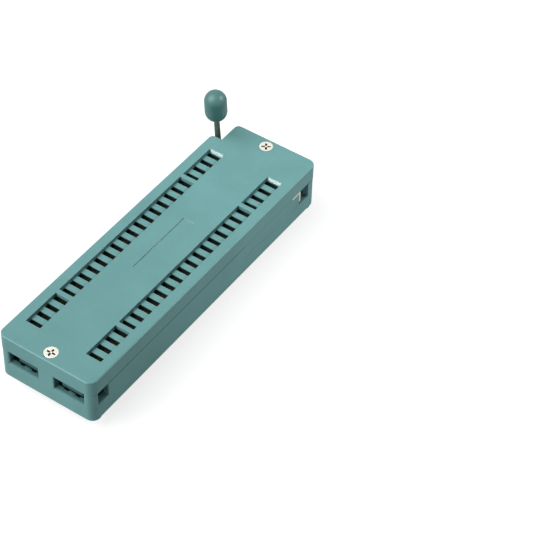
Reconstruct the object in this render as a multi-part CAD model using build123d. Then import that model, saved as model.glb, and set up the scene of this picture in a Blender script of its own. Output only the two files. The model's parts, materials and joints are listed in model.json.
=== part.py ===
from build123d import *
import math
import os

# A 48-way zero-insertion-force test socket for dual-in-line chips.
# Millimetres. +Y runs along the body towards the lever, +X to the side away from the lever, +Z up.
# The origin is on the circuit board's face, under the middle of the body.

# Lead pattern
slots_per_trough = (4, 16, 4)    # from the lever end, with a full-height bar between troughs
lead_pitch = 2.54
tail_row_spacing = 15.24

# Room round the lead pattern, which sets the outline of the body
near_end_room = 6.58             # from the middle of the last slot
far_end_room = 10.55             # from the middle of the first slot
side_room = 2.29                 # from the outer ends of the slots
corner_radius = 1.7
standoff = 0.5                   # disc height under the base
base_height = 7.15
cover_height = 3.8
cover_overhang = 0.05            # of the cover past the base, all round
sill_height = 3.8                # floor and window sills, above the underside of the base
edge_round = 0.25                # along the top of the cover

# Lead slots and their troughs in the cover
slot_spacing = 14.62             # between the middles of the two rows of slots
slot_length = 3.5                # across the body
slot_width = 1.15                # along the body
trough_depth = 0.7
trough_end = 0.35                # run of the slope at the near end of a trough
lead_in = 0.5                    # run of the polished slope beyond the first slot
cover_pocket_width = 1.9
slot_wall = 0.35                 # plastic left between trough and pocket
label_length = 16.8
label_width = 2.4
label_depth = 0.15
label_shift = -0.2

# Cut-back corner of the cover beside the lever
lever_bay_width = 2.5
lever_bay_length = 5.7
lever_bay_radius = 1.1

# Cover screws
screw_inset = 2.1                # from the end of the body
screw_head_diameter = 3.1
screw_head_depth = 0.7
screw_shank_diameter = 1.9
screw_length = 8.6
screw_clearance = 0.05
recess_span = 1.9
recess_width = 0.45
recess_depth = 0.6

# Underside
disc_diameter = 3.5
disc_inset_x = 1.9
disc_inset_y = 2.1
boss_diameter = 3.3
boss_bore = 2.0

# Windows, walls and bays of the base
wall = 1.2                       # long sides
end_wall = 1.35                  # sills and jambs of the end windows
pillar_half_width = 1.87
pillar_depth = 4.0
pillar_round = 0.2               # on the edges of the middle pillar
end_window_outer = 2.33          # corner post, from the side
post_round = 0.5                 # on the window edge of a corner post
trench_length = 1.4              # behind the end wall
trench_depth = 1.6
sill_notch_width = 1.1
sill_notch_reach = 0.3           # into the sill, from the trench
sill_notch_places = (3.95, 6.75)
bearing_pip_radius = 0.6         # between two notches, under the nose of the slide
bearing_pip_height = 0.12
side_window_near = 1.65          # from the near end
side_window_length = 3.2
rail_start = 12.0                # near end of the lowered stretch of side wall
rail_drop = 0.45                 # of the side sill there
far_window_end = 2.8             # from the far end
lever_notch_length = 2.5
lever_notch_depth = 0.6

# Slide plate
slide_travel = 0.7
slide_clearance = 0.1
nose_clearance = 0.1             # from the end wall
nose_length = 3.6
nose_outer = 7.7                 # outer side of the nose, from the middle of the body
nose_gap = 0.93                  # between the nose and the middle pillar
nose_relief_depth = 0.3          # step in the top of the nose
nose_relief_start = 5.4          # from the middle of the body
rail_clearance = 0.05
slide_end = 6.1                  # far face of the plate, from the far end
slide_pocket_room = 0.2          # beside a tine, across the body

# Bent steel angle on the slide plate
angle_thickness = 0.45
angle_top_leg = 3.0
angle_foot = 0.35                # bottom of the upright leg, above the bottom of the slide plate
angle_bend = 0.35
angle_end_gap = 0.05

# Cam rod, lever arm and knob
cam_gap = 0.05
cam_radius = 1.05
cam_flank_arcs = 3               # arcs that follow the worked-out flank
lever_lean = 5.0                 # degrees past upright, towards the near end
cam_rod_end = 2.7                # from the side of the body
cam_seat_gap = 0.05
cam_rib_width = 1.2
cam_rib_places = (-6.5, 0.0, 6.5)
arm_thickness = 0.85
arm_inset = 0.5                  # outer face, in from the side of the body
arm_tip_width = 0.9
arm_root_width = 1.3
arm_root_height = 1.9            # top of the wide root, above the cam axis
knob_diameter = 4.8
knob_length = 7.63
knob_height = 10.1               # bottom of the knob, along the arm from the cam axis
knob_grip = 2.6                  # length of arm inside the knob
knob_mouth_diameter = 1.7
knob_mouth_depth = 0.45

# Contacts
tine_width = 3.0
strip_thickness = 0.2
tine_gap = 0.6
tine_nip = 0.36
tine_shoulder_rise = 0.4         # start of the inward bend, above the base
tine_nip_rise = 0.8              # narrowest place, above the shoulder
tine_flare = 0.8
tine_head_room = 0.9             # above the tines, in the pocket of the cover
contact_seat = 1.0               # pocket floor, above the underside of the base
contact_clearance = 0.1
tail_width = 0.95
tail_thickness = 0.35
tail_length = 3.73               # below the underside of the base
tail_point = 0.12
tail_slot_length = 1.6
tail_slot_width = 0.5

# How far a cutting box runs past the face that it opens, and how near a corner has to be to count
overshoot = 1.0
nearness = 0.01

# Places worked out from the sizes above
contacts_per_row = sum(slots_per_trough)
pattern_length = (contacts_per_row - 1) * lead_pitch
body_length = near_end_room + pattern_length + far_end_room
body_width = slot_spacing + slot_length + 2 * side_room
half_length = body_length / 2
half_width = body_width / 2
y_first_slot = half_length - far_end_room
z_under = standoff
z_sill = z_under + sill_height
z_joint = z_under + base_height
z_top = z_joint + cover_height
z_seat = z_under + contact_seat
bay_half = half_width - wall
y_end_inside = -half_length + end_wall
y_slide_end = half_length - slide_end
y_angle_face = y_slide_end + angle_end_gap + angle_thickness
y_cam = y_angle_face + cam_gap + cam_radius
z_cam = (z_sill + z_joint) / 2
y_channel_far = y_cam + cam_radius + cam_seat_gap
x_bay_left = -half_width + lever_bay_width
y_lever_bay = half_length - lever_bay_length
x_arm_outer = -half_width + arm_inset
x_arm_inner = x_arm_outer + arm_thickness
y_screw = half_length - screw_inset
z_slide_low = z_sill + slide_clearance
z_rail_sill = z_sill - rail_drop
z_slide_nose = z_sill + bearing_pip_height + slide_clearance
z_slide_high = z_joint - slide_clearance
z_trough = z_top - trough_depth
z_cover_pocket = z_trough - slot_wall
lever_swing = math.pi / 2 + math.radians(lever_lean)
cam_closed = cam_radius - slide_travel
cam_rate = slide_travel / lever_swing
cam_nose = math.hypot(cam_radius, cam_rate)
tine_outer = tine_gap / 2 + strip_thickness


def block(x0, x1, y0, y1, z0, z1):
    """A plain box between two corners."""
    return Pos((x0 + x1) / 2, (y0 + y1) / 2, (z0 + z1) / 2) * Box(x1 - x0, y1 - y0, z1 - z0)


def along_x(outline, x0, x1):
    """A (y, z) outline given as a face in the YZ plane, drawn out from x0 to x1."""
    return Pos(x0, 0, 0) * extrude(outline, x1 - x0, dir=(1, 0, 0))


def yz_face(points):
    """A straight-sided face in the YZ plane."""
    return make_face(Polyline([(0, y, z) for y, z in points], close=True))


def row_places():
    """The (y, number) of each contact in a row, counted from the lever end."""
    return [(y_first_slot - i * lead_pitch, i + 1) for i in range(contacts_per_row)]


def slot_centres():
    """The (x, y) of every lead slot."""
    return [(side * slot_spacing / 2, y) for side in (-1, 1) for y, number in row_places()]


def vertical_holes(centres, size_x, size_y, z0, z1):
    """Rectangular holes of one size, one for each centre."""
    return [block(x - size_x / 2, x + size_x / 2, y - size_y / 2, y + size_y / 2, z0, z1)
            for x, y in centres]


def base_block():
    """The base with its four walls, before the windows are opened."""
    plan = RectangleRounded(body_width, body_length, corner_radius)
    z_trench = z_sill - trench_depth
    base = Pos(0, 0, z_under) * extrude(plan, base_height)
    base -= block(-bay_half, bay_half, y_end_inside, y_channel_far, z_sill, z_joint)
    base -= block(-bay_half, bay_half, y_end_inside, y_end_inside + trench_length, z_trench, z_joint)
    base += block(-pillar_half_width, pillar_half_width, -half_length + end_wall / 2,
                  -half_length + pillar_depth, z_trench, z_joint)
    return base


def base_windows():
    """Windows at the near end, windows in the sides and the bay for the lever."""
    cuts = []
    for side in (-1, 1):
        x0, x1 = sorted((side * pillar_half_width, side * (half_width - end_window_outer)))
        cuts.append(block(x0, x1, -half_length - overshoot, y_end_inside + overshoot, z_sill, z_joint))
        for x in sill_notch_places:
            x_notch = side * x - sill_notch_width / 2
            cuts.append(block(x_notch, x_notch + sill_notch_width, y_end_inside - sill_notch_reach,
                              y_end_inside + trench_length, z_sill - trench_depth, z_joint))
        x0, x1 = sorted((side * (bay_half - overshoot), side * (half_width + overshoot)))
        y0 = -half_length + side_window_near
        cuts.append(block(x0, x1, y0, y0 + side_window_length, z_sill, z_joint))
        cuts.append(block(x0, x1, rail_start, half_length - far_window_end, z_sill, z_joint))
        x0, x1 = sorted((side * bay_half, side * (half_width + overshoot)))
        cuts.append(block(x0, x1, rail_start, half_length - far_window_end, z_rail_sill, z_joint))
    x_outside = -half_width - overshoot
    cuts.append(block(x_outside, x_bay_left, rail_start, half_length + overshoot, z_sill, z_joint))
    y_notch = y_angle_face - angle_thickness
    cuts.append(block(x_outside, x_bay_left, y_notch, y_notch + lever_notch_length,
                      z_sill - lever_notch_depth, z_joint))
    return cuts


def cam_saddle():
    """The concave seat in the far lower corner of the cam channel."""
    x_end = half_width - cam_rod_end
    seat = block(x_bay_left, x_end, y_cam, y_channel_far, z_sill, z_cam)
    bore = Pos(0, y_cam, z_cam) * Rot(0, 90, 0) * Cylinder(cam_radius + cam_seat_gap, body_width)
    return seat - bore


def rounded_windows(base):
    """The base with the upright edges of its end windows rounded."""
    z_middle = (z_sill + z_joint) / 2
    for x, radius in ((half_width - end_window_outer, post_round), (pillar_half_width, pillar_round)):
        places = [(side * x, -half_length, z_middle) for side in (-1, 1)]
        edges = [e for e in base.edges().filter_by(Axis.Z)
                 if any(math.dist(tuple(e.center()), place) < nearness for place in places)]
        base = fillet(edges, radius)
    return base


def bearing_pips():
    """Half-round pips on the sills that carry the nose of the slide plate."""
    x_pip = sum(sill_notch_places) / len(sill_notch_places)
    pip = Pos(0, y_end_inside, z_sill) * Cylinder(bearing_pip_radius, 2 * bearing_pip_height)
    near_half = block(-half_width, half_width, -half_length, y_end_inside, z_under, z_joint)
    return [Pos(side * x_pip, 0, 0) * pip & near_half for side in (-1, 1)]


def make_base_housing():
    """The base: walls, windows, contact pockets, saddle, standoff discs and ring bosses."""
    base = rounded_windows(base_block() - base_windows())
    base += cam_saddle()
    base += bearing_pips()
    pocket_x = tine_width + 2 * contact_clearance
    pocket_y = 2 * (tine_outer + contact_clearance)
    base -= vertical_holes(slot_centres(), pocket_x, pocket_y, z_seat, z_sill)
    tails = [(side * tail_row_spacing / 2, y) for side in (-1, 1) for y, number in row_places()]
    base -= vertical_holes(tails, tail_slot_length, tail_slot_width, 0, z_seat)
    disc = Cylinder(disc_diameter / 2, standoff, align=(Align.CENTER, Align.CENTER, Align.MIN))
    base += disc
    for sx in (-1, 1):
        for sy in (-1, 1):
            base += Pos(sx * (half_width - disc_inset_x), sy * (half_length - disc_inset_y), 0) * disc
    boss = Cylinder(boss_diameter / 2, standoff, align=(Align.CENTER, Align.CENTER, Align.MIN))
    hole = Cylinder(boss_bore / 2, z_joint, align=(Align.CENTER, Align.CENTER, Align.MIN))
    for sy in (-1, 1):
        base += Pos(0, sy * y_screw, 0) * boss
        base -= Pos(0, sy * y_screw, 0) * hole
    return base


def corners_at(plan, places):
    """The corners of a plan that stand at the given places."""
    return [v for v in plan.vertices() if any(math.dist((v.X, v.Y), place) < nearness for place in places)]


def cover_outline():
    """The plan of the cover, cut back beside the lever."""
    x = half_width + cover_overhang
    y = half_length + cover_overhang
    points = [(-x, -y), (x, -y), (x, y), (x_bay_left, y), (x_bay_left, y_lever_bay), (-x, y_lever_bay)]
    plan = make_face(Polyline(points, close=True))
    plan = fillet(corners_at(plan, points[:3]), corner_radius)
    return fillet(corners_at(plan, [points[3], points[5]]), lever_bay_radius)


def trough_runs():
    """The (far y, near y) of each trough, measured to the outer sides of its first and last slots."""
    places = [y for y, number in row_places()]
    runs = []
    first = 0
    for count in slots_per_trough:
        runs.append((places[first] + slot_width / 2, places[first + count - 1] - slot_width / 2))
        first += count
    return runs


def make_top_cover():
    """The cover: troughs with sloped ends, lead slots, contact pockets and countersunk holes."""
    cover = Pos(0, 0, z_joint) * extrude(cover_outline(), cover_height)
    cover = fillet(cover.faces().sort_by(Axis.Z)[-1].edges(), edge_round)
    runs = trough_runs()
    for far, near in runs:
        slope = lead_in if far == runs[0][0] else 0
        run = yz_face([(far + slope, z_top), (far, z_trough), (near, z_trough), (near - trough_end, z_top)])
        for side in (-1, 1):
            x0 = side * slot_spacing / 2 - slot_length / 2
            cover -= along_x(run, x0, x0 + slot_length)
    cover -= vertical_holes(slot_centres(), slot_length, slot_width, z_cover_pocket, z_trough)
    cover -= vertical_holes(slot_centres(), slot_length, cover_pocket_width, z_joint, z_cover_pocket)
    cover -= block(-label_width / 2, label_width / 2, label_shift - label_length / 2,
                   label_shift + label_length / 2, z_top - label_depth, z_top)
    for sy in (-1, 1):
        cover -= Pos(0, sy * y_screw, 0) * screw_shape(screw_clearance)
    for x in cam_rib_places:
        cover += block(x - cam_rib_width / 2, x + cam_rib_width / 2, y_cam, y_channel_far - cam_seat_gap,
                       z_cam + cam_nose + cam_seat_gap, z_joint)
    return cover


def screw_shape(clearance):
    """A countersunk head flush with the cover, on its shank, grown by a clearance."""
    head = screw_head_diameter / 2 + clearance
    shank = screw_shank_diameter / 2 + clearance
    z_neck = z_top - screw_head_depth
    z_end = z_top - screw_length
    profile = [(0, z_end), (shank, z_end), (shank, z_neck), (head, z_top), (0, z_top)]
    face = make_face(Polyline([(r, 0, z) for r, z in profile], close=True))
    return revolve(face, Axis.Z)


def make_cover_screw(y):
    """One cover screw with its cross recess."""
    screw = screw_shape(0)
    z_floor = z_top - recess_depth
    for turn in (0, 90):
        slot = Rot(0, 0, turn) * Box(recess_span, recess_width, recess_depth)
        screw -= Pos(0, 0, (z_floor + z_top) / 2) * slot
    return Pos(0, y, 0) * screw


def make_slide_plate():
    """The plate that works the contacts, its side rails and its nose at the near end."""
    half = bay_half - slide_clearance
    y_near = y_end_inside + nose_clearance
    y_nose = y_near + nose_length
    plate = block(-half, half, y_nose, y_slide_end, z_slide_low, z_slide_high)
    plate += block(-nose_outer, nose_outer, y_near, y_nose, z_slide_nose, z_slide_high)
    rail = half_width - rail_clearance
    y_rail = rail_start + rail_clearance
    plate += block(-rail, rail, y_rail, y_slide_end, z_slide_low, z_slide_high)
    for side in (-1, 1):
        x0, x1 = sorted((side * (bay_half + rail_clearance), side * rail))
        plate += block(x0, x1, y_rail, y_slide_end, z_rail_sill + slide_clearance, z_slide_high)
        x0, x1 = sorted((side * nose_relief_start, side * nose_outer))
        plate -= block(x0, x1, y_near, y_nose, z_slide_high - nose_relief_depth, z_slide_high)
    gap = pillar_half_width + nose_gap
    y_gap = -half_length + pillar_depth + 2 * slide_clearance
    plate -= block(-gap, gap, y_near, y_gap, z_slide_low, z_slide_high)
    far_side = tine_outer + contact_clearance
    near_side = far_side + slide_travel
    shift = (far_side - near_side) / 2
    pockets = [(x, y + shift) for x, y in slot_centres()]
    plate -= vertical_holes(pockets, tine_width + 2 * slide_pocket_room, far_side + near_side,
                            z_slide_low, z_slide_high)
    rebate = angle_thickness + angle_end_gap
    plate -= block(-rail, rail, y_angle_face - angle_top_leg - angle_end_gap, y_slide_end,
                   z_slide_high - rebate, z_slide_high)
    return plate


def make_wear_angle():
    """The bent steel angle that takes the push of the cam on the slide plate."""
    y_back = y_angle_face - angle_top_leg
    y_inside = y_angle_face - angle_thickness
    z_inside = z_slide_high - angle_thickness
    z_foot = z_slide_low + angle_foot
    outline = yz_face([(y_back, z_slide_high), (y_angle_face, z_slide_high), (y_angle_face, z_foot),
                       (y_inside, z_foot), (y_inside, z_inside), (y_back, z_inside)])
    rail = half_width - rail_clearance
    angle = along_x(outline, -rail, rail)
    corner = [e for e in angle.edges().filter_by(Axis.X)
              if math.dist((e.center().Y, e.center().Z), (y_angle_face, z_slide_high)) < nearness]
    return fillet(corner, angle_bend)


def on_cam(angle):
    """A point of the cam's round back. The angle starts at the slide's side and goes up over the top."""
    return (0, y_cam - cam_radius * math.cos(angle), z_cam + cam_radius * math.sin(angle))


def on_flank(turn):
    """The point of the cam's flank that bears on the slide when the lever has made this turn."""
    reach = cam_radius - cam_rate * turn
    y = -reach * math.cos(turn) - cam_rate * math.sin(turn)
    z = -reach * math.sin(turn) + cam_rate * math.cos(turn)
    return (0, y_cam + y, z_cam + z)


def cam_profile():
    """The cam's section. Its flank is an involute, so the slide's travel keeps step with the angle."""
    step = lever_swing / cam_flank_arcs
    flank = [ThreePointArc(on_flank(i * step), on_flank((i + 0.5) * step), on_flank((i + 1) * step))
             for i in range(cam_flank_arcs)]
    start = 2 * math.atan2(cam_rate, cam_radius)
    end = 1.5 * math.pi - lever_swing + math.asin(cam_closed / cam_radius)
    nose = Line(flank[0] @ 0, on_cam(start))
    back = ThreePointArc(on_cam(start), on_cam((start + end) / 2), on_cam(end))
    flat = Line(on_cam(end), flank[-1] @ 1)
    return make_face([nose, back, flat] + flank)


def make_cam_rod():
    """The rod across the far end that pushes the slide plate."""
    return along_x(cam_profile(), x_arm_inner, half_width - cam_rod_end)


def leaned(solid):
    """A solid of the lever turned about the cam axis, from upright to where the lever rests."""
    return Pos(0, y_cam, z_cam) * Rot(lever_lean, 0, 0) * Pos(0, -y_cam, -z_cam) * solid


def make_lever_arm():
    """The stamped arm: a wide root, a taper to the knob, and the cam's own section about the axis."""
    tip = arm_tip_width / 2
    root = arm_root_width / 2
    outline = yz_face([(y_cam - tip, z_cam), (y_cam - tip, z_cam + knob_height + knob_grip),
                       (y_cam + tip, z_cam + knob_height + knob_grip), (y_cam + tip, z_cam + knob_height),
                       (y_cam + root, z_cam + arm_root_height), (y_cam + root, z_cam)])
    bar = leaned(along_x(outline, x_arm_outer, x_arm_inner))
    return bar + along_x(cam_profile(), x_arm_outer, x_arm_inner)


def make_lever_knob():
    """The moulded knob, round at both ends, with a mouth where the arm enters."""
    radius = knob_diameter / 2
    z_low = z_cam + knob_height
    z_high = z_low + knob_length
    knob = Pos(0, 0, (z_low + z_high) / 2) * Cylinder(radius, knob_length - knob_diameter)
    for z in (z_low + radius, z_high - radius):
        knob += Pos(0, 0, z) * Sphere(radius)
    mouth = Pos(0, 0, z_low + knob_mouth_depth / 2) * Cylinder(knob_mouth_diameter / 2, knob_mouth_depth)
    knob -= mouth
    middle = (x_arm_outer + x_arm_inner) / 2
    knob = Pos(middle, y_cam, 0) * knob
    tip = arm_tip_width / 2
    return leaned(knob - block(x_arm_outer, x_arm_inner, y_cam - tip, y_cam + tip,
                               z_low - overshoot, z_low + knob_grip))


def tine_outline():
    """The two tines and the strip that joins them, seen along the row's width."""
    z_low = z_seat + strip_thickness
    z_shoulder = z_joint + tine_shoulder_rise
    z_nip = z_shoulder + tine_nip_rise
    z_lip = z_cover_pocket - tine_head_room
    half = [(tine_outer, z_seat), (tine_outer, z_shoulder), (tine_nip / 2 + strip_thickness, z_nip),
            (tine_flare, z_lip), (tine_flare - strip_thickness, z_lip), (tine_nip / 2, z_nip),
            (tine_gap / 2, z_shoulder), (tine_gap / 2, z_low)]
    return half + [(-y, z) for y, z in reversed(half)]


def make_contact(side, y):
    """One contact: two tines under a lead slot and a flat tail below the base."""
    x_tine = side * slot_spacing / 2
    outline = yz_face([(y + dy, z) for dy, z in tine_outline()])
    tines = along_x(outline, x_tine - tine_width / 2, x_tine + tine_width / 2)
    x_tail = side * tail_row_spacing / 2
    z_tip = z_under - tail_length
    tail = block(x_tail - tail_width / 2, x_tail + tail_width / 2, y - tail_thickness / 2,
                 y + tail_thickness / 2, z_tip, z_seat)
    tail = chamfer(tail.faces().sort_by(Axis.Z)[0].edges().filter_by(Axis.X), tail_point)
    return tines + tail


def all_parts():
    """Every node of the model by name."""
    parts = {
        "base_housing": make_base_housing(),
        "top_cover": make_top_cover(),
        "cover_screw_near": make_cover_screw(-y_screw),
        "cover_screw_far": make_cover_screw(y_screw),
        "slide_plate": make_slide_plate(),
        "wear_angle": make_wear_angle(),
        "cam_rod": make_cam_rod(),
        "lever_arm": make_lever_arm(),
        "lever_knob": make_lever_knob(),
    }
    for name, side in (("left", -1), ("right", 1)):
        for y, number in row_places():
            parts[f"contact_{name}_{number:02d}"] = make_contact(side, y)
    return parts


os.makedirs("parts", exist_ok=True)
for node, solid in all_parts().items():
    export_step(solid, f"parts/{node}.step")
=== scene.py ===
"""The finish of a 48-way zero-insertion-force test socket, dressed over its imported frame."""

import json
import math

import bpy
from mathutils import Matrix, Quaternion, Vector

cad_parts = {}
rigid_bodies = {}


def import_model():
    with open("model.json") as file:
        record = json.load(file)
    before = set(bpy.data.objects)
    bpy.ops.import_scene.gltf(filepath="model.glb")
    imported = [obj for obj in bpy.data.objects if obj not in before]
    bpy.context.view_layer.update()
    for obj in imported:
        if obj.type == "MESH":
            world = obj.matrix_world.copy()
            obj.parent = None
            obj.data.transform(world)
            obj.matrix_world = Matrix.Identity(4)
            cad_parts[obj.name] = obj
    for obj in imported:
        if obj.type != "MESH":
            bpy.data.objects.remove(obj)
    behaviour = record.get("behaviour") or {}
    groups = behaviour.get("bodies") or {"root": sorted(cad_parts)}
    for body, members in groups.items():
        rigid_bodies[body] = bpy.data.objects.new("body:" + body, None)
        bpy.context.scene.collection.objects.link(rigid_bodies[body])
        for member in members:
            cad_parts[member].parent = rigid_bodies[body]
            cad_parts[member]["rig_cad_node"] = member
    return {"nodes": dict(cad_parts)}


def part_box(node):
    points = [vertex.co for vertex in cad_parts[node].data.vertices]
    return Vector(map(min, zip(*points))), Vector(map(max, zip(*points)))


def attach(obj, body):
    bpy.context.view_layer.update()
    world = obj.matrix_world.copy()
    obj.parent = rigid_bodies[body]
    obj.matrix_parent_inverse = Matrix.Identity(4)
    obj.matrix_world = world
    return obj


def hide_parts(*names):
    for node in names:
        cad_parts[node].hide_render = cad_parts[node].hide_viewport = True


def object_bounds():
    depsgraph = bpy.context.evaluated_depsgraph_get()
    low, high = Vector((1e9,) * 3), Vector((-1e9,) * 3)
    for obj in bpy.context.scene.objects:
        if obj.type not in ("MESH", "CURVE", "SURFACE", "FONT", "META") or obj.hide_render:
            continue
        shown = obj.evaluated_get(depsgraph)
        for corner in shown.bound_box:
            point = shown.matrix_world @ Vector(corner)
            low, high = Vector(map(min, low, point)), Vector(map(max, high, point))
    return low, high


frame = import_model()
nodes = frame["nodes"]
cad_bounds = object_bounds()

mm = 0.001

# Camera, where the photograph was taken from
camera_place = Vector((168.72, -220.86, 289.48)) * mm
camera_direction = Vector((-0.38012, 0.58530, -0.71619))
camera_roll = math.radians(2.097)
camera_lens, sensor_width = 131.58, 36.0

# The lever's pivot, and how far the lever leans past upright where it rests
pivot_y, pivot_z = 33.275 * mm, 5.975 * mm
lever_lean = math.radians(5.0)

# Widths of the eased edges
moulded_edge, fine_moulded_edge = 0.09 * mm, 0.06 * mm
stamped_edge, screw_edge = 0.05 * mm, 0.04 * mm

# Points this close are one point, and faces this close to a height are at it
one_point, at_height = 0.001 * mm, 0.01 * mm
straight_down = -0.99            # a face's normal in z, beyond which it counts as facing down

# Where the colour sockets of a Mix node stand among its inputs and outputs
mix_first, mix_second, mix_result = 6, 7, 2


def deselect_all():
    """Nothing selected and no mode but object mode."""
    if bpy.context.object is not None and bpy.context.object.mode != "OBJECT":
        bpy.ops.object.mode_set(mode="OBJECT")
    bpy.ops.object.select_all(action="DESELECT")


def pick(piece):
    """Makes a piece the only one selected, and the active one."""
    deselect_all()
    piece.select_set(True)
    bpy.context.view_layer.objects.active = piece


def just_added():
    """The primitive that was just added, with its place moved into its mesh."""
    bpy.ops.object.transform_apply(location=True, rotation=True, scale=True)
    return bpy.context.active_object


def apply_modifier(piece, kind, **settings):
    """Adds a modifier, sets it and applies it."""
    pick(piece)
    modifier = piece.modifiers.new(kind.lower(), kind)
    for name, value in settings.items():
        setattr(modifier, name, value)
    bpy.ops.object.modifier_apply(modifier=modifier.name)


def ease_edges(piece, width, eased_from, smooth_below):
    """Bevels the sharp edges of a piece, and shades it smooth between its sharpest."""
    apply_modifier(piece, "BEVEL", width=width, segments=2, limit_method="ANGLE",
                   angle_limit=math.radians(eased_from), use_clamp_overlap=False)
    bpy.ops.object.shade_smooth_by_angle(angle=math.radians(smooth_below))


def select_where(piece, element, test):
    """Selects the vertices or faces of a mesh that pass a test, and stays in edit mode."""
    bpy.ops.object.mode_set(mode="EDIT")
    bpy.ops.mesh.select_mode(type=element)
    bpy.ops.mesh.select_all(action="DESELECT")
    bpy.ops.object.mode_set(mode="OBJECT")
    for part in {"VERT": piece.data.vertices, "FACE": piece.data.polygons}[element]:
        part.select = test(part)
    bpy.ops.object.mode_set(mode="EDIT")


def select_bottom(piece, height):
    """Selects the faces that look straight down, at a height or below it."""
    select_where(piece, "FACE", lambda face: (face.normal.z < straight_down
                                              and face.center.z < height + at_height))


def turned_in_place(piece, pivot, axis, angle):
    """Turns the mesh of a piece about a point, and leaves the piece itself unturned."""
    centre = Matrix.Translation(pivot)
    piece.data.transform(centre @ Matrix.Rotation(angle, 4, axis) @ centre.inverted())


def paint(piece, material):
    """Gives a piece one material and no other."""
    piece.data.materials.clear()
    piece.data.materials.append(material)


def seat(piece, body, slot, material, *replaced):
    """Puts a finished piece on its body with its material, and hides the nodes it replaces; the
    slot is not used.
    """
    paint(piece, material)
    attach(piece, body)
    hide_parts(*replaced)


def eased_copy(node, name, edge):
    """A copy of a CAD node with its faces joined and its sharp edges eased."""
    pick(nodes[node])
    bpy.ops.object.duplicate()
    piece = bpy.context.active_object
    piece.name = name
    piece.data.name = name
    del piece["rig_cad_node"]
    bpy.ops.object.mode_set(mode="EDIT")
    bpy.ops.mesh.select_all(action="SELECT")
    bpy.ops.mesh.remove_doubles(threshold=one_point)
    bpy.ops.mesh.dissolve_limited(angle_limit=math.radians(1))
    bpy.ops.object.mode_set(mode="OBJECT")
    ease_edges(piece, edge, eased_from=35, smooth_below=40)
    apply_modifier(piece, "WEIGHTED_NORMAL", keep_sharp=True)
    return piece


def new_group(name, inputs, outputs):
    """A shader node group with named inputs and outputs."""
    group = bpy.data.node_groups.new(name, "ShaderNodeTree")
    for socket, kind, value in inputs:
        made = group.interface.new_socket(socket, in_out="INPUT", socket_type=kind)
        made.default_value = value
    for socket, kind in outputs:
        group.interface.new_socket(socket, in_out="OUTPUT", socket_type=kind)
    return group, group.nodes.new("NodeGroupInput"), group.nodes.new("NodeGroupOutput")


def place_group(tree, group, **values):
    """Puts a node group in a material, with values of its own."""
    placed = tree.nodes.new("ShaderNodeGroup")
    placed.node_tree = group
    for socket, value in values.items():
        placed.inputs[socket].default_value = value
    return placed


def noise(tree, vector, scale, detail, roughness=0.5):
    """A noise texture read at a vector, giving its value socket."""
    texture = tree.nodes.new("ShaderNodeTexNoise")
    texture.inputs["Scale"].default_value = scale
    texture.inputs["Detail"].default_value = detail
    texture.inputs["Roughness"].default_value = roughness
    tree.links.new(vector, texture.inputs["Vector"])
    return texture.outputs["Fac"]


def set_socket(tree, socket, value):
    """Links another socket to a socket, or sets it to a plain value."""
    if isinstance(value, bpy.types.NodeSocket):
        tree.links.new(value, socket)
    else:
        socket.default_value = value


def spread(tree, value, low, high, to_low, to_high):
    """Maps a value from one range to another, held at the ends."""
    ranged = tree.nodes.new("ShaderNodeMapRange")
    for socket, given in (("Value", value), ("From Min", low), ("From Max", high),
                          ("To Min", to_low), ("To Max", to_high)):
        set_socket(tree, ranged.inputs[socket], given)
    return ranged.outputs["Result"]


def maths(tree, operation, *values):
    """A math node on sockets or numbers."""
    node = tree.nodes.new("ShaderNodeMath")
    node.operation = operation
    for socket, value in zip(node.inputs, values):
        set_socket(tree, socket, value)
    return node.outputs["Value"]


def multiply(tree, first, *others):
    """The product of several sockets or numbers."""
    for other in others:
        first = maths(tree, "MULTIPLY", first, other)
    return first


def all_but(tree, mask):
    """One where a mask is nought, and nought where it is one."""
    return maths(tree, "SUBTRACT", 1.0, mask)


def blend_colours(tree, mode, factor, first, second):
    """A colour mix of two sockets or colours."""
    node = tree.nodes.new("ShaderNodeMix")
    node.data_type = "RGBA"
    node.blend_type = mode
    set_socket(tree, node.inputs["Factor"], factor)
    for place, colour in ((mix_first, first), (mix_second, second)):
        plain = not isinstance(colour, bpy.types.NodeSocket)
        set_socket(tree, node.inputs[place], (*colour, 1.0) if plain else colour)
    return node.outputs[mix_result]


def object_coordinates(tree):
    """The coordinates that every pattern reads."""
    return tree.nodes.new("ShaderNodeTexCoord").outputs["Object"]


def object_axes(tree):
    """The same coordinates as three sockets, X, Y and Z."""
    apart = tree.nodes.new("ShaderNodeSeparateXYZ")
    tree.links.new(object_coordinates(tree), apart.inputs[0])
    return apart.outputs


def feeding(shader, name):
    """The socket that feeds an input of a shader."""
    return shader.inputs[name].links[0].from_socket


def make_edge_wear_and_highlight_group():
    """A mask of the eased edges, patchy along their length, for edges that use has worn and for a
    painted highlight where rounded edges catch the light.
    """
    group, given, made = new_group("edge_wear_and_highlight", [("Radius", "NodeSocketFloat", 0.2 * mm)],
                                   [("Mask", "NodeSocketFloat")])
    rounded = group.nodes.new("ShaderNodeBevel")
    rounded.samples = 6
    group.links.new(given.outputs["Radius"], rounded.inputs["Radius"])
    surface = group.nodes.new("ShaderNodeNewGeometry")
    agree = group.nodes.new("ShaderNodeVectorMath")
    agree.operation = "DOT_PRODUCT"
    group.links.new(rounded.outputs["Normal"], agree.inputs[0])
    group.links.new(surface.outputs["Normal"], agree.inputs[1])
    on_the_flat, on_an_edge = 1.0, 0.8
    edge = spread(group, agree.outputs["Value"], on_the_flat, on_an_edge, 0.0, 1.0)
    patches = noise(group, object_coordinates(group), scale=700.0, detail=4.0)
    faintest_edge = 0.45
    patchy = spread(group, patches, 0.35, 0.65, faintest_edge, 1.0)
    group.links.new(multiply(group, edge, patchy), made.inputs["Mask"])
    return group


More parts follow.
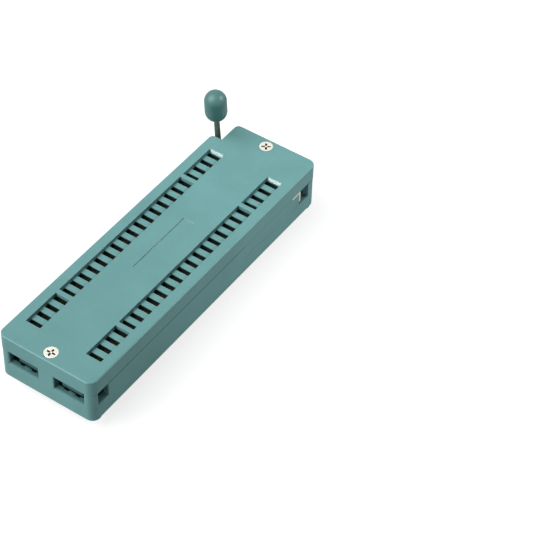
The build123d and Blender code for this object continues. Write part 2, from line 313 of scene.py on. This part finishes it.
# What every surface group gives: the sockets that wire_surface joins to a shader
surface_outputs = [("Colour", "NodeSocketColor"), ("Roughness", "NodeSocketFloat"),
                   ("Height", "NodeSocketFloat")]


def make_moulded_group():
    """Moulded plastic: faint mottling, glass-fibre specks and a fine satin grain."""
    group, given, made = new_group(
        "moulded_plastic",
        [("Colour", "NodeSocketColor", (0.15, 0.33, 0.32, 1.0)),
         ("Mottle", "NodeSocketFloat", 0.06), ("Gloss", "NodeSocketFloat", 0.42),
         ("Edge", "NodeSocketFloat", 0.0)], surface_outputs)
    place = object_coordinates(group)
    cloud = noise(group, place, scale=90.0, detail=4.0, roughness=0.55)
    speck = noise(group, place, scale=5200.0, detail=2.0)
    grain = noise(group, place, scale=11000.0, detail=1.0)
    darkest = all_but(group, given.outputs["Mottle"])
    lightest = maths(group, "ADD", 1.0, given.outputs["Mottle"])
    mottled = spread(group, cloud, 0.3, 0.7, darkest, lightest)
    darkest_fibre, lightest_fibre = 0.95, 1.05
    fibre = spread(group, speck, 0.25, 0.75, darkest_fibre, lightest_fibre)
    level = multiply(group, mottled, fibre)
    grey = group.nodes.new("ShaderNodeCombineColor")
    for channel in ("Red", "Green", "Blue"):
        group.links.new(level, grey.inputs[channel])
    varied = blend_colours(group, "MULTIPLY", 1.0, given.outputs["Colour"], grey.outputs["Color"])
    # The edges turn paler: partly wear, partly a painted highlight for the light that rounded edges
    # catch
    worn_and_highlit_colour = (0.33, 0.52, 0.49)
    worn_and_highlit = blend_colours(group, "MIX", given.outputs["Edge"], varied, worn_and_highlit_colour)
    group.links.new(worn_and_highlit, made.inputs["Colour"])
    shiniest_speck, dullest_speck = -0.05, 0.07
    specks = spread(group, speck, 0.2, 0.8, shiniest_speck, dullest_speck)
    satin = maths(group, "ADD", given.outputs["Gloss"], specks)
    full_rub, rubbed_smooth = 0.6, 0.45
    smooth = spread(group, given.outputs["Edge"], 0.0, full_rub, 1.0, rubbed_smooth)
    group.links.new(multiply(group, satin, smooth), made.inputs["Roughness"])
    cloud_height = 0.4
    height = maths(group, "ADD", multiply(group, cloud, cloud_height), grain)
    group.links.new(height, made.inputs["Height"])
    return group


def make_metal_group():
    """Rolled or plated metal: streaks along one axis, fine scuffs and dull spots."""
    group, given, made = new_group(
        "worked_metal",
        [("Colour", "NodeSocketColor", (0.7, 0.7, 0.7, 1.0)),
         ("Dull", "NodeSocketColor", (0.4, 0.4, 0.4, 1.0)),
         ("Tarnish", "NodeSocketFloat", 0.3), ("Gloss", "NodeSocketFloat", 0.3),
         ("Streak", "NodeSocketVector", (300.0, 3000.0, 3000.0))], surface_outputs)
    place = object_coordinates(group)
    stretched = group.nodes.new("ShaderNodeVectorMath")
    stretched.operation = "MULTIPLY"
    group.links.new(place, stretched.inputs[0])
    group.links.new(given.outputs["Streak"], stretched.inputs[1])
    streak = noise(group, stretched.outputs["Vector"], scale=1.0, detail=3.0)
    spots = noise(group, place, scale=800.0, detail=4.0)
    streak_dulls, dull_roughens = 0.25, 0.25
    dulled = multiply(group, spread(group, spots, 0.35, 0.7, 0.0, 1.0), given.outputs["Tarnish"])
    lined = multiply(group, spread(group, streak, 0.3, 0.7, 0.0, 1.0), streak_dulls)
    mask = maths(group, "ADD", dulled, lined)
    colour = blend_colours(group, "MIX", mask, given.outputs["Colour"], given.outputs["Dull"])
    rough = maths(group, "ADD", given.outputs["Gloss"], multiply(group, mask, dull_roughens))
    group.links.new(colour, made.inputs["Colour"])
    group.links.new(rough, made.inputs["Roughness"])
    group.links.new(streak, made.inputs["Height"])
    return group


def new_material(name):
    """A material with its node tree and its shader."""
    material = bpy.data.materials.new(name)
    material.use_nodes = True
    return material, material.node_tree, material.node_tree.nodes["Principled BSDF"]


def wire_surface(tree, shader, worked, relief, depth):
    """Joins a surface group's colour, roughness and height to a shader."""
    tree.links.new(worked.outputs["Colour"], shader.inputs["Base Color"])
    tree.links.new(worked.outputs["Roughness"], shader.inputs["Roughness"])
    bump = tree.nodes.new("ShaderNodeBump")
    bump.inputs["Strength"].default_value = relief
    bump.inputs["Distance"].default_value = depth
    tree.links.new(worked.outputs["Height"], bump.inputs["Height"])
    tree.links.new(bump.outputs["Normal"], shader.inputs["Normal"])


def plastic_material(name, colour, gloss, mottle, wear_and_highlight, shine):
    """Moulded plastic in one colour, its edges painted paler, partly as wear and partly as a
    painted highlight, and shinier through the coat.
    """
    material, tree, shader = new_material(name)
    worked = place_group(tree, moulded_group, Colour=(*colour, 1.0), Gloss=gloss, Mottle=mottle)
    edges = place_group(tree, edge_wear_and_highlight_group)
    # The edge mask pales the colour, as worn edges and as a painted highlight
    tree.links.new(multiply(tree, edges.outputs["Mask"], wear_and_highlight), worked.inputs["Edge"])
    wire_surface(tree, shader, worked, relief=0.25, depth=0.004 * mm)
    shader.inputs["Specular IOR Level"].default_value = shine
    shader.inputs["Coat Roughness"].default_value = 0.12
    full_rub, edge_coat = 0.6, 0.9
    coat = spread(tree, edges.outputs["Mask"], 0.0, full_rub, 0.0, edge_coat)
    tree.links.new(coat, shader.inputs["Coat Weight"])
    return material


def metal_material(name, colour, dull, tarnish, gloss, streak):
    """Bare or plated metal."""
    material, tree, shader = new_material(name)
    worked = place_group(tree, metal_group, Colour=(*colour, 1.0), Dull=(*dull, 1.0),
                         Tarnish=tarnish, Gloss=gloss, Streak=streak)
    wire_surface(tree, shader, worked, relief=0.15, depth=0.003 * mm)
    shader.inputs["Metallic"].default_value = 1.0
    return material


def darken_beyond(material, z_plain, z_dark, colour):
    """Multiplies a material's colour to a darker one, from one height to another, as painted shade.
    """
    tree = material.node_tree
    shader = tree.nodes["Principled BSDF"]
    mask = spread(tree, object_axes(tree)["Z"], z_plain, z_dark, 0.0, 1.0)
    darkened = blend_colours(tree, "MULTIPLY", mask, feeding(shader, "Base Color"), colour)
    tree.links.new(darkened, shader.inputs["Base Color"])


def within(tree, value, low, high, fade):
    """One where a value lies between two limits, fading to nought at them."""
    rise = spread(tree, value, low, low + fade, 0.0, 1.0)
    fall = spread(tree, value, high - fade, high, 1.0, 0.0)
    return multiply(tree, rise, fall)


# The masks by place below read x, y and z, and across and along: the distances from the
# middle planes of the object to its long sides and to its two ends.

def two_steps(tree, value, mouth, depth):
    """Rises part of the way just inside a window's mouth, and to one beyond its depth."""
    mouth_fade, depth_fade = 0.60 * mm, 0.4 * mm
    mouth_share, depth_share = 0.58, 0.42
    first = spread(tree, value, mouth - mouth_fade, mouth, mouth_share, 0.0)
    second = spread(tree, value, depth - depth_fade, depth, depth_share, 0.0)
    return maths(tree, "ADD", first, second)


def deep_inside(tree, x, y, z, across, along):
    """One inside the housing, and nought on its outside, in the lever's bay and on one jamb."""
    side_mouth, side_depth = 11.27 * mm, 10.15 * mm
    end_mouth, end_depth = 37.74 * mm, 36.35 * mm
    post_inside, post_outside = 47.7 * mm, 48.0 * mm     # of across and along together
    floor_height, cover_floor, height_fade = 0.6 * mm, 10.73 * mm, 0.5 * mm
    bay_outside, bay_wall = -8.80 * mm, -8.75 * mm
    bay_near, bay_full = 32.0 * mm, 32.05 * mm
    jamb_near, jamb_far, jamb_fade = 34.90 * mm, 35.06 * mm, 0.02 * mm
    jamb_root, jamb_full = 8.0 * mm, 9.0 * mm
    corner = spread(tree, maths(tree, "ADD", across, along), post_inside, post_outside, 1.0, 0.0)
    bay = multiply(tree, spread(tree, x, bay_outside, bay_wall, 1.0, 0.0),
                   spread(tree, y, bay_near, bay_full, 0.0, 1.0))
    jamb = multiply(tree, within(tree, y, jamb_near, jamb_far, jamb_fade),
                    spread(tree, x, jamb_root, jamb_full, 0.0, 1.0))
    return multiply(tree, two_steps(tree, across, side_mouth, side_depth),
                    two_steps(tree, along, end_mouth, end_depth), corner,
                    within(tree, z, floor_height, cover_floor, height_fade),
                    all_but(tree, bay), all_but(tree, jamb))


def seam_line(tree, z, along):
    """The joint of base and cover, plain along the sides and faint at the ends."""
    joint_low, joint_high, joint_fade = 7.50 * mm, 7.80 * mm, 0.03 * mm
    side_end, end_start = 35.9 * mm, 37.2 * mm
    on_sides, on_ends = 0.85, 0.12
    return multiply(tree, within(tree, z, joint_low, joint_high, joint_fade),
                    spread(tree, along, side_end, end_start, on_sides, on_ends))


def label_recess_side(tree, x, y, z):
    """The long left side of the label recess, which faces away from the large lamp."""
    left, right, x_fade = -1.33 * mm, -1.11 * mm, 0.03 * mm
    near, far, y_fade = -8.60 * mm, 8.20 * mm, 0.05 * mm
    z_none, z_full, strength = 11.0 * mm, 11.2 * mm, 0.6
    return multiply(tree, within(tree, x, left, right, x_fade),
                    within(tree, y, near, far, y_fade),
                    spread(tree, z, z_none, z_full, 0.0, strength))


def trough_sides(tree, x, z, along):
    """The left walls of the troughs in both rows, which face away from the large lamp."""
    left_row, right_row, wall_fade = (-9.16 * mm, -8.74 * mm), (5.46 * mm, 5.88 * mm), 0.10 * mm
    trough_floor, trough_rim, height_fade = 10.70 * mm, 11.42 * mm, 0.02 * mm
    rows_end, past_rows, strength = 36.0 * mm, 36.2 * mm, 0.55
    walls = maths(tree, "ADD", within(tree, x, *left_row, wall_fade),
                  within(tree, x, *right_row, wall_fade))
    return multiply(tree, walls, within(tree, z, trough_floor, trough_rim, height_fade),
                    spread(tree, along, rows_end, past_rows, strength, 0.0))


def top_edges(tree, z, across, along):
    """The edges round the top of the cover, where the light draws a pale line."""
    side_start, side_full = 11.26 * mm, 11.36 * mm
    end_start, end_full = 37.69 * mm, 37.79 * mm
    edge_low, edge_high, edge_fade, strength = 11.17 * mm, 11.44 * mm, 0.06 * mm, 0.5
    outermost = maths(tree, "MAXIMUM", spread(tree, across, side_start, side_full, 0.0, 1.0),
                      spread(tree, along, end_start, end_full, 0.0, 1.0))
    return multiply(tree, outermost, within(tree, z, edge_low, edge_high, edge_fade), strength)


def far_slopes(tree, y, z, across):
    """The slopes beyond the last lead slots at the far ends of the two rows."""
    row_inner, row_outer, side_fade = 5.5 * mm, 9.1 * mm, 0.05 * mm
    slope_near, slope_far, slope_fade = 27.79 * mm, 28.33 * mm, 0.02 * mm
    slope_foot, slope_head = 10.72 * mm, 11.44 * mm
    return multiply(tree, within(tree, across, row_inner, row_outer, side_fade),
                    within(tree, y, slope_near, slope_far, slope_fade),
                    within(tree, z, slope_foot, slope_head, slope_fade))


def shade_by_place(material, dark, lit, slope_gloss, slope_coat):
    """Darkens where little light reaches, pales the top edges and polishes the far slopes."""
    tree = material.node_tree
    shader = tree.nodes["Principled BSDF"]
    x, y, z = object_axes(tree)
    across, along = maths(tree, "ABSOLUTE", x), maths(tree, "ABSOLUTE", y)
    deep = deep_inside(tree, x, y, z, across, along)
    shaded = feeding(shader, "Base Color")
    for mask in (deep, seam_line(tree, z, along), label_recess_side(tree, x, y, z),
                 trough_sides(tree, x, z, along)):
        shaded = blend_colours(tree, "MULTIPLY", mask, shaded, dark)
    shaded = blend_colours(tree, "MIX", top_edges(tree, z, across, along), shaded, lit)
    tree.links.new(shaded, shader.inputs["Base Color"])
    slopes = far_slopes(tree, y, z, across)
    outer_coat = multiply(tree, feeding(shader, "Coat Weight"), all_but(tree, deep))
    for name, plain, polished in (("Roughness", feeding(shader, "Roughness"), slope_gloss),
                                  ("Coat Weight", outer_coat, slope_coat)):
        tree.links.new(spread(tree, slopes, 0.0, 1.0, plain, polished), shader.inputs[name])


edge_wear_and_highlight_group = make_edge_wear_and_highlight_group()
moulded_group = make_moulded_group()
metal_group = make_metal_group()

teal_plastic = plastic_material("teal_plastic", (0.158, 0.342, 0.343), gloss=0.34, mottle=0.06,
                                wear_and_highlight=0.6, shine=0.08)
shade_by_place(teal_plastic, dark=(0.12, 0.15, 0.15), lit=(0.36, 0.64, 0.62), slope_gloss=0.12,
               slope_coat=0.62)
knob_plastic = plastic_material("knob_plastic", (0.058, 0.178, 0.168), gloss=0.40, mottle=0.04,
                                wear_and_highlight=0.15, shine=0.6)
bright_steel = metal_material("bright_steel", (0.95, 0.95, 0.88), dull=(0.72, 0.72, 0.66),
                              tarnish=0.25, gloss=0.24, streak=(300.0, 4000.0, 4000.0))
lever_steel = metal_material("lever_steel", (0.15, 0.21, 0.16), dull=(0.10, 0.12, 0.08),
                             tarnish=0.6, gloss=0.38, streak=(4000.0, 4000.0, 500.0))
nickel_plate = metal_material("nickel_plate", (0.93, 0.91, 0.84), dull=(0.66, 0.62, 0.52),
                              tarnish=0.2, gloss=0.24, streak=(1500.0, 1500.0, 1500.0))
contact_gold = metal_material("contact_gold", (0.78, 0.66, 0.36), dull=(0.42, 0.37, 0.20),
                              tarnish=0.5, gloss=0.30, streak=(3000.0, 3000.0, 400.0))
# Painted shade: the tines darken upwards from the tails, where the housing shades them, and the
# screws' recesses darken downwards from the heads, into their shaded hollows
darken_beyond(contact_gold, 5.0 * mm, 6.5 * mm, (0.24, 0.20, 0.16))
darken_beyond(nickel_plate, 11.36 * mm, 11.16 * mm, (0.36, 0.33, 0.20))


def screw_recess_cutters(x, y, z_top):
    """Four tapered wings and a shallow round dimple between them, to sink the cross recess."""
    span, width, depth = 2.05 * mm, 0.50 * mm, 0.85 * mm
    inner, foot_share = 0.19 * mm, 0.75
    dimple_radius, dimple_rise = 0.50 * mm, 0.40 * mm
    reach = span / 2 - inner
    wing_height = depth * 1.5            # a third of it stands above the head
    cutters = []
    for quarter in range(4):
        deselect_all()
        bpy.ops.mesh.primitive_cube_add(size=1.0, location=(x + inner + reach / 2, y,
                                                            z_top - depth / 4))
        wing = bpy.context.active_object
        wing.scale = (reach, width, wing_height)
        bpy.ops.object.transform_apply(location=False, rotation=False, scale=True)
        select_where(wing, "VERT", lambda point: point.co.z < 0)
        bpy.ops.transform.resize(value=(foot_share, foot_share, 1.0))
        bpy.ops.object.mode_set(mode="OBJECT")
        bpy.ops.object.transform_apply(location=True, rotation=True, scale=False)
        turned_in_place(wing, (x, y, 0), "Z", quarter * math.pi / 2)
        cutters.append(wing)
    deselect_all()
    bpy.ops.mesh.primitive_uv_sphere_add(segments=32, ring_count=16, radius=dimple_radius,
                                         location=(x, y, z_top + dimple_rise))
    return cutters + [just_added()]


def make_cover_screw(end, turn):
    """A countersunk cross-recess screw, its head flush with the cover."""
    node = f"cover_screw_{end}"
    low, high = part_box(node)
    x, y = (low.x + high.x) / 2, (low.y + high.y) / 2
    inside_solid = 0.08 * mm             # how much smaller the head is than its solid
    head_radius = (high.x - low.x) / 2 - inside_solid
    shank_radius = 0.95 * mm
    rim, cone = 0.14 * mm, 0.56 * mm
    shank = (high.z - low.z) - rim - cone
    tip_share, tip_width = 0.1, 0.45     # of the shank's length and of its width
    deselect_all()
    bpy.ops.mesh.primitive_cylinder_add(vertices=64, radius=head_radius, depth=rim,
                                        location=(x, y, high.z - rim / 2))
    screw = just_added()
    screw.name = f"screw_{end}"
    for drop, width in ((cone, shank_radius / head_radius), (shank * (1 - tip_share), 1.0),
                        (shank * tip_share, tip_width)):
        select_bottom(screw, min(point.co.z for point in screw.data.vertices))
        bpy.ops.mesh.extrude_region_move(TRANSFORM_OT_translate={"value": (0, 0, -drop)})
        bpy.ops.transform.resize(value=(width, width, 1.0))
        bpy.ops.object.mode_set(mode="OBJECT")
    for cutter in screw_recess_cutters(x, y, high.z):
        apply_modifier(screw, "BOOLEAN", operation="DIFFERENCE", object=cutter, solver="EXACT")
        bpy.data.objects.remove(cutter)
    turned_in_place(screw, (x, y, 0), "Z", turn)
    ease_edges(screw, screw_edge, eased_from=30, smooth_below=35)
    seat(screw, "housing", "screw_nickel", nickel_plate, node)


def make_knob():
    """The moulded knob, with the mouth that the arm enters, leaned with the lever."""
    low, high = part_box("lever_knob")
    x = (low.x + high.x) / 2
    radius = (high.x - low.x) / 2
    length, above_pivot = 7.63 * mm, 10.1 * mm
    mouth_radius, mouth_lip, mouth_depth = 0.85 * mm, 0.10 * mm, 0.45 * mm
    z_bottom = pivot_z + above_pivot
    z_mouth = z_bottom + radius - math.sqrt(radius ** 2 - mouth_radius ** 2)
    z_equator = z_bottom + radius
    deselect_all()
    bpy.ops.mesh.primitive_uv_sphere_add(segments=64, ring_count=32, radius=radius,
                                         location=(x, pivot_y, z_equator))
    knob = just_added()
    knob.name = "knob"
    select_where(knob, "VERT", lambda point: point.co.z > z_equator + one_point)
    bpy.ops.transform.translate(value=(0, 0, length - 2 * radius))
    bpy.ops.mesh.select_all(action="SELECT")
    bpy.ops.mesh.bisect(plane_co=(x, pivot_y, z_mouth), plane_no=(0, 0, 1), clear_inner=True,
                        use_fill=True)
    bpy.ops.object.mode_set(mode="OBJECT")
    select_bottom(knob, z_mouth)
    bpy.ops.mesh.inset(thickness=mouth_lip, depth=0)
    bpy.ops.mesh.extrude_region_move(TRANSFORM_OT_translate={"value": (0, 0, mouth_depth)})
    bpy.ops.object.mode_set(mode="OBJECT")
    turned_in_place(knob, (x, pivot_y, pivot_z), "X", lever_lean)
    bpy.ops.object.shade_smooth_by_angle(angle=math.radians(40))
    seat(knob, "lever", "housing_plastic", knob_plastic, "lever_knob")


def dress_frame():
    """Eased copies of the moulded and stamped nodes."""
    moulded = ("housing_plastic", teal_plastic)
    steel = ("bare_steel", bright_steel)
    for node, name, edge, body, finish in (
            ("base_housing", "base_shell", fine_moulded_edge, "housing", moulded),
            ("top_cover", "cover_shell", moulded_edge, "housing", moulded),
            ("slide_plate", "slide_shell", fine_moulded_edge, "slide", moulded),
            ("wear_angle", "wear_plate", stamped_edge, "slide", steel),
            ("lever_arm", "lever_stem", stamped_edge, "lever", ("lever_steel", lever_steel)),
            ("cam_rod", "cam_bar", stamped_edge, "lever", steel)):
        seat(eased_copy(node, name, edge), body, *finish, node)


def dress_contacts():
    """Gold on every contact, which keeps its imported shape."""
    for name in nodes:
        if name.startswith("contact_"):
            paint(nodes[name], contact_gold)


def make_floor():
    """A plain pale floor that reads as white to the camera and keeps a faint shadow."""
    deselect_all()
    bpy.ops.mesh.primitive_plane_add(size=4.0, location=(0, 0, cad_bounds[0].z))
    floor = bpy.context.active_object
    floor.name = "floor"
    material, tree, shader = new_material("pale_floor")
    grey, seen_glow, mirrored_glow = 0.46, 0.70, 0.18
    shader.inputs["Base Color"].default_value = (grey, grey, grey, 1.0)
    shader.inputs["Roughness"].default_value = 0.9
    shader.inputs["Specular IOR Level"].default_value = 0.0
    glow = tree.nodes.new("ShaderNodeEmission")
    both = tree.nodes.new("ShaderNodeAddShader")
    rays = tree.nodes.new("ShaderNodeLightPath")
    seen = multiply(tree, rays.outputs["Is Camera Ray"], seen_glow)
    mirrored = multiply(tree, rays.outputs["Is Glossy Ray"], mirrored_glow)
    tree.links.new(maths(tree, "ADD", seen, mirrored), glow.inputs["Strength"])
    tree.links.new(shader.outputs["BSDF"], both.inputs[0])
    tree.links.new(glow.outputs["Emission"], both.inputs[1])
    tree.links.new(both.outputs["Shader"], tree.nodes["Material Output"].inputs["Surface"])
    paint(floor, material)


def hang(name, thing, place, turn):
    """Puts a camera or a lamp in the scene, at its place and turned."""
    holder = bpy.data.objects.new(name, thing)
    bpy.context.scene.collection.objects.link(holder)
    holder.location = place
    holder.rotation_mode = "QUATERNION"
    holder.rotation_quaternion = turn
    return holder


def facing(direction):
    """The turn that points a camera or a lamp along a direction."""
    return Vector(direction).to_track_quat("-Z", "Y")


def make_camera():
    """The photograph's view."""
    camera = bpy.data.cameras.new("camera")
    camera.lens = camera_lens
    camera.sensor_width = sensor_width
    camera.clip_start, camera.clip_end = 0.01, 20.0
    rolled = facing(camera_direction) @ Quaternion((0, 0, 1), camera_roll)
    bpy.context.scene.camera = hang("camera", camera, camera_place, rolled)


def add_lamp(name, place, size, power):
    """A soft square lamp aimed at the middle of the object."""
    lamp = bpy.data.lights.new(name, "AREA")
    lamp.shape = "SQUARE"
    lamp.size = size
    lamp.energy = power
    hang(name, lamp, place, facing(-Vector(place)))


def add_spot(name, place, target, angle, softness, power):
    """A soft-edged spot on one end of the object."""
    lamp = bpy.data.lights.new(name, "SPOT")
    lamp.spot_size = angle
    lamp.spot_blend = 1.0
    lamp.shadow_soft_size = softness
    lamp.energy = power
    hang(name, lamp, place, facing(Vector(target) - Vector(place)))


def light_scene():
    """Soft studio light: a large lamp over the left shoulder, two small ones, a spot, the world."""
    add_lamp("key_lamp", place=(-0.40, -0.52, 0.76), size=1.00, power=11.9)
    add_lamp("low_lamp", place=(-0.40, -0.82, 0.366), size=0.14, power=0.82)
    add_lamp("back_lamp", place=(0.16, 0.175, 0.18), size=0.05, power=0.16)
    add_spot("side_spot", place=(0.20, 0.16, 0.15), target=(0.011, 0.036, 0.006),
             angle=math.radians(17), softness=0.05, power=2.7)
    world = bpy.data.worlds.new("surround")
    bpy.context.scene.world = world
    world.use_nodes = True
    tree = world.node_tree
    background = tree.nodes["Background"]
    rays = tree.nodes.new("ShaderNodeLightPath")
    seen = maths(tree, "MAXIMUM", rays.outputs["Is Camera Ray"], rays.outputs["Is Glossy Ray"])
    seen = maths(tree, "MAXIMUM", seen, rays.outputs["Is Transmission Ray"])
    fill_strength, seen_strength = 0.165, 1.0
    strength = spread(tree, seen, 0.0, 1.0, fill_strength, seen_strength)
    tree.links.new(strength, background.inputs["Strength"])
    background.inputs["Color"].default_value = (1.0, 1.0, 1.0, 1.0)


bpy.context.scene.view_settings.view_transform = "Standard"
make_camera()
light_scene()
make_floor()
dress_frame()
dress_contacts()
make_knob()
make_cover_screw("near", math.radians(3))
make_cover_screw("far", math.radians(33))
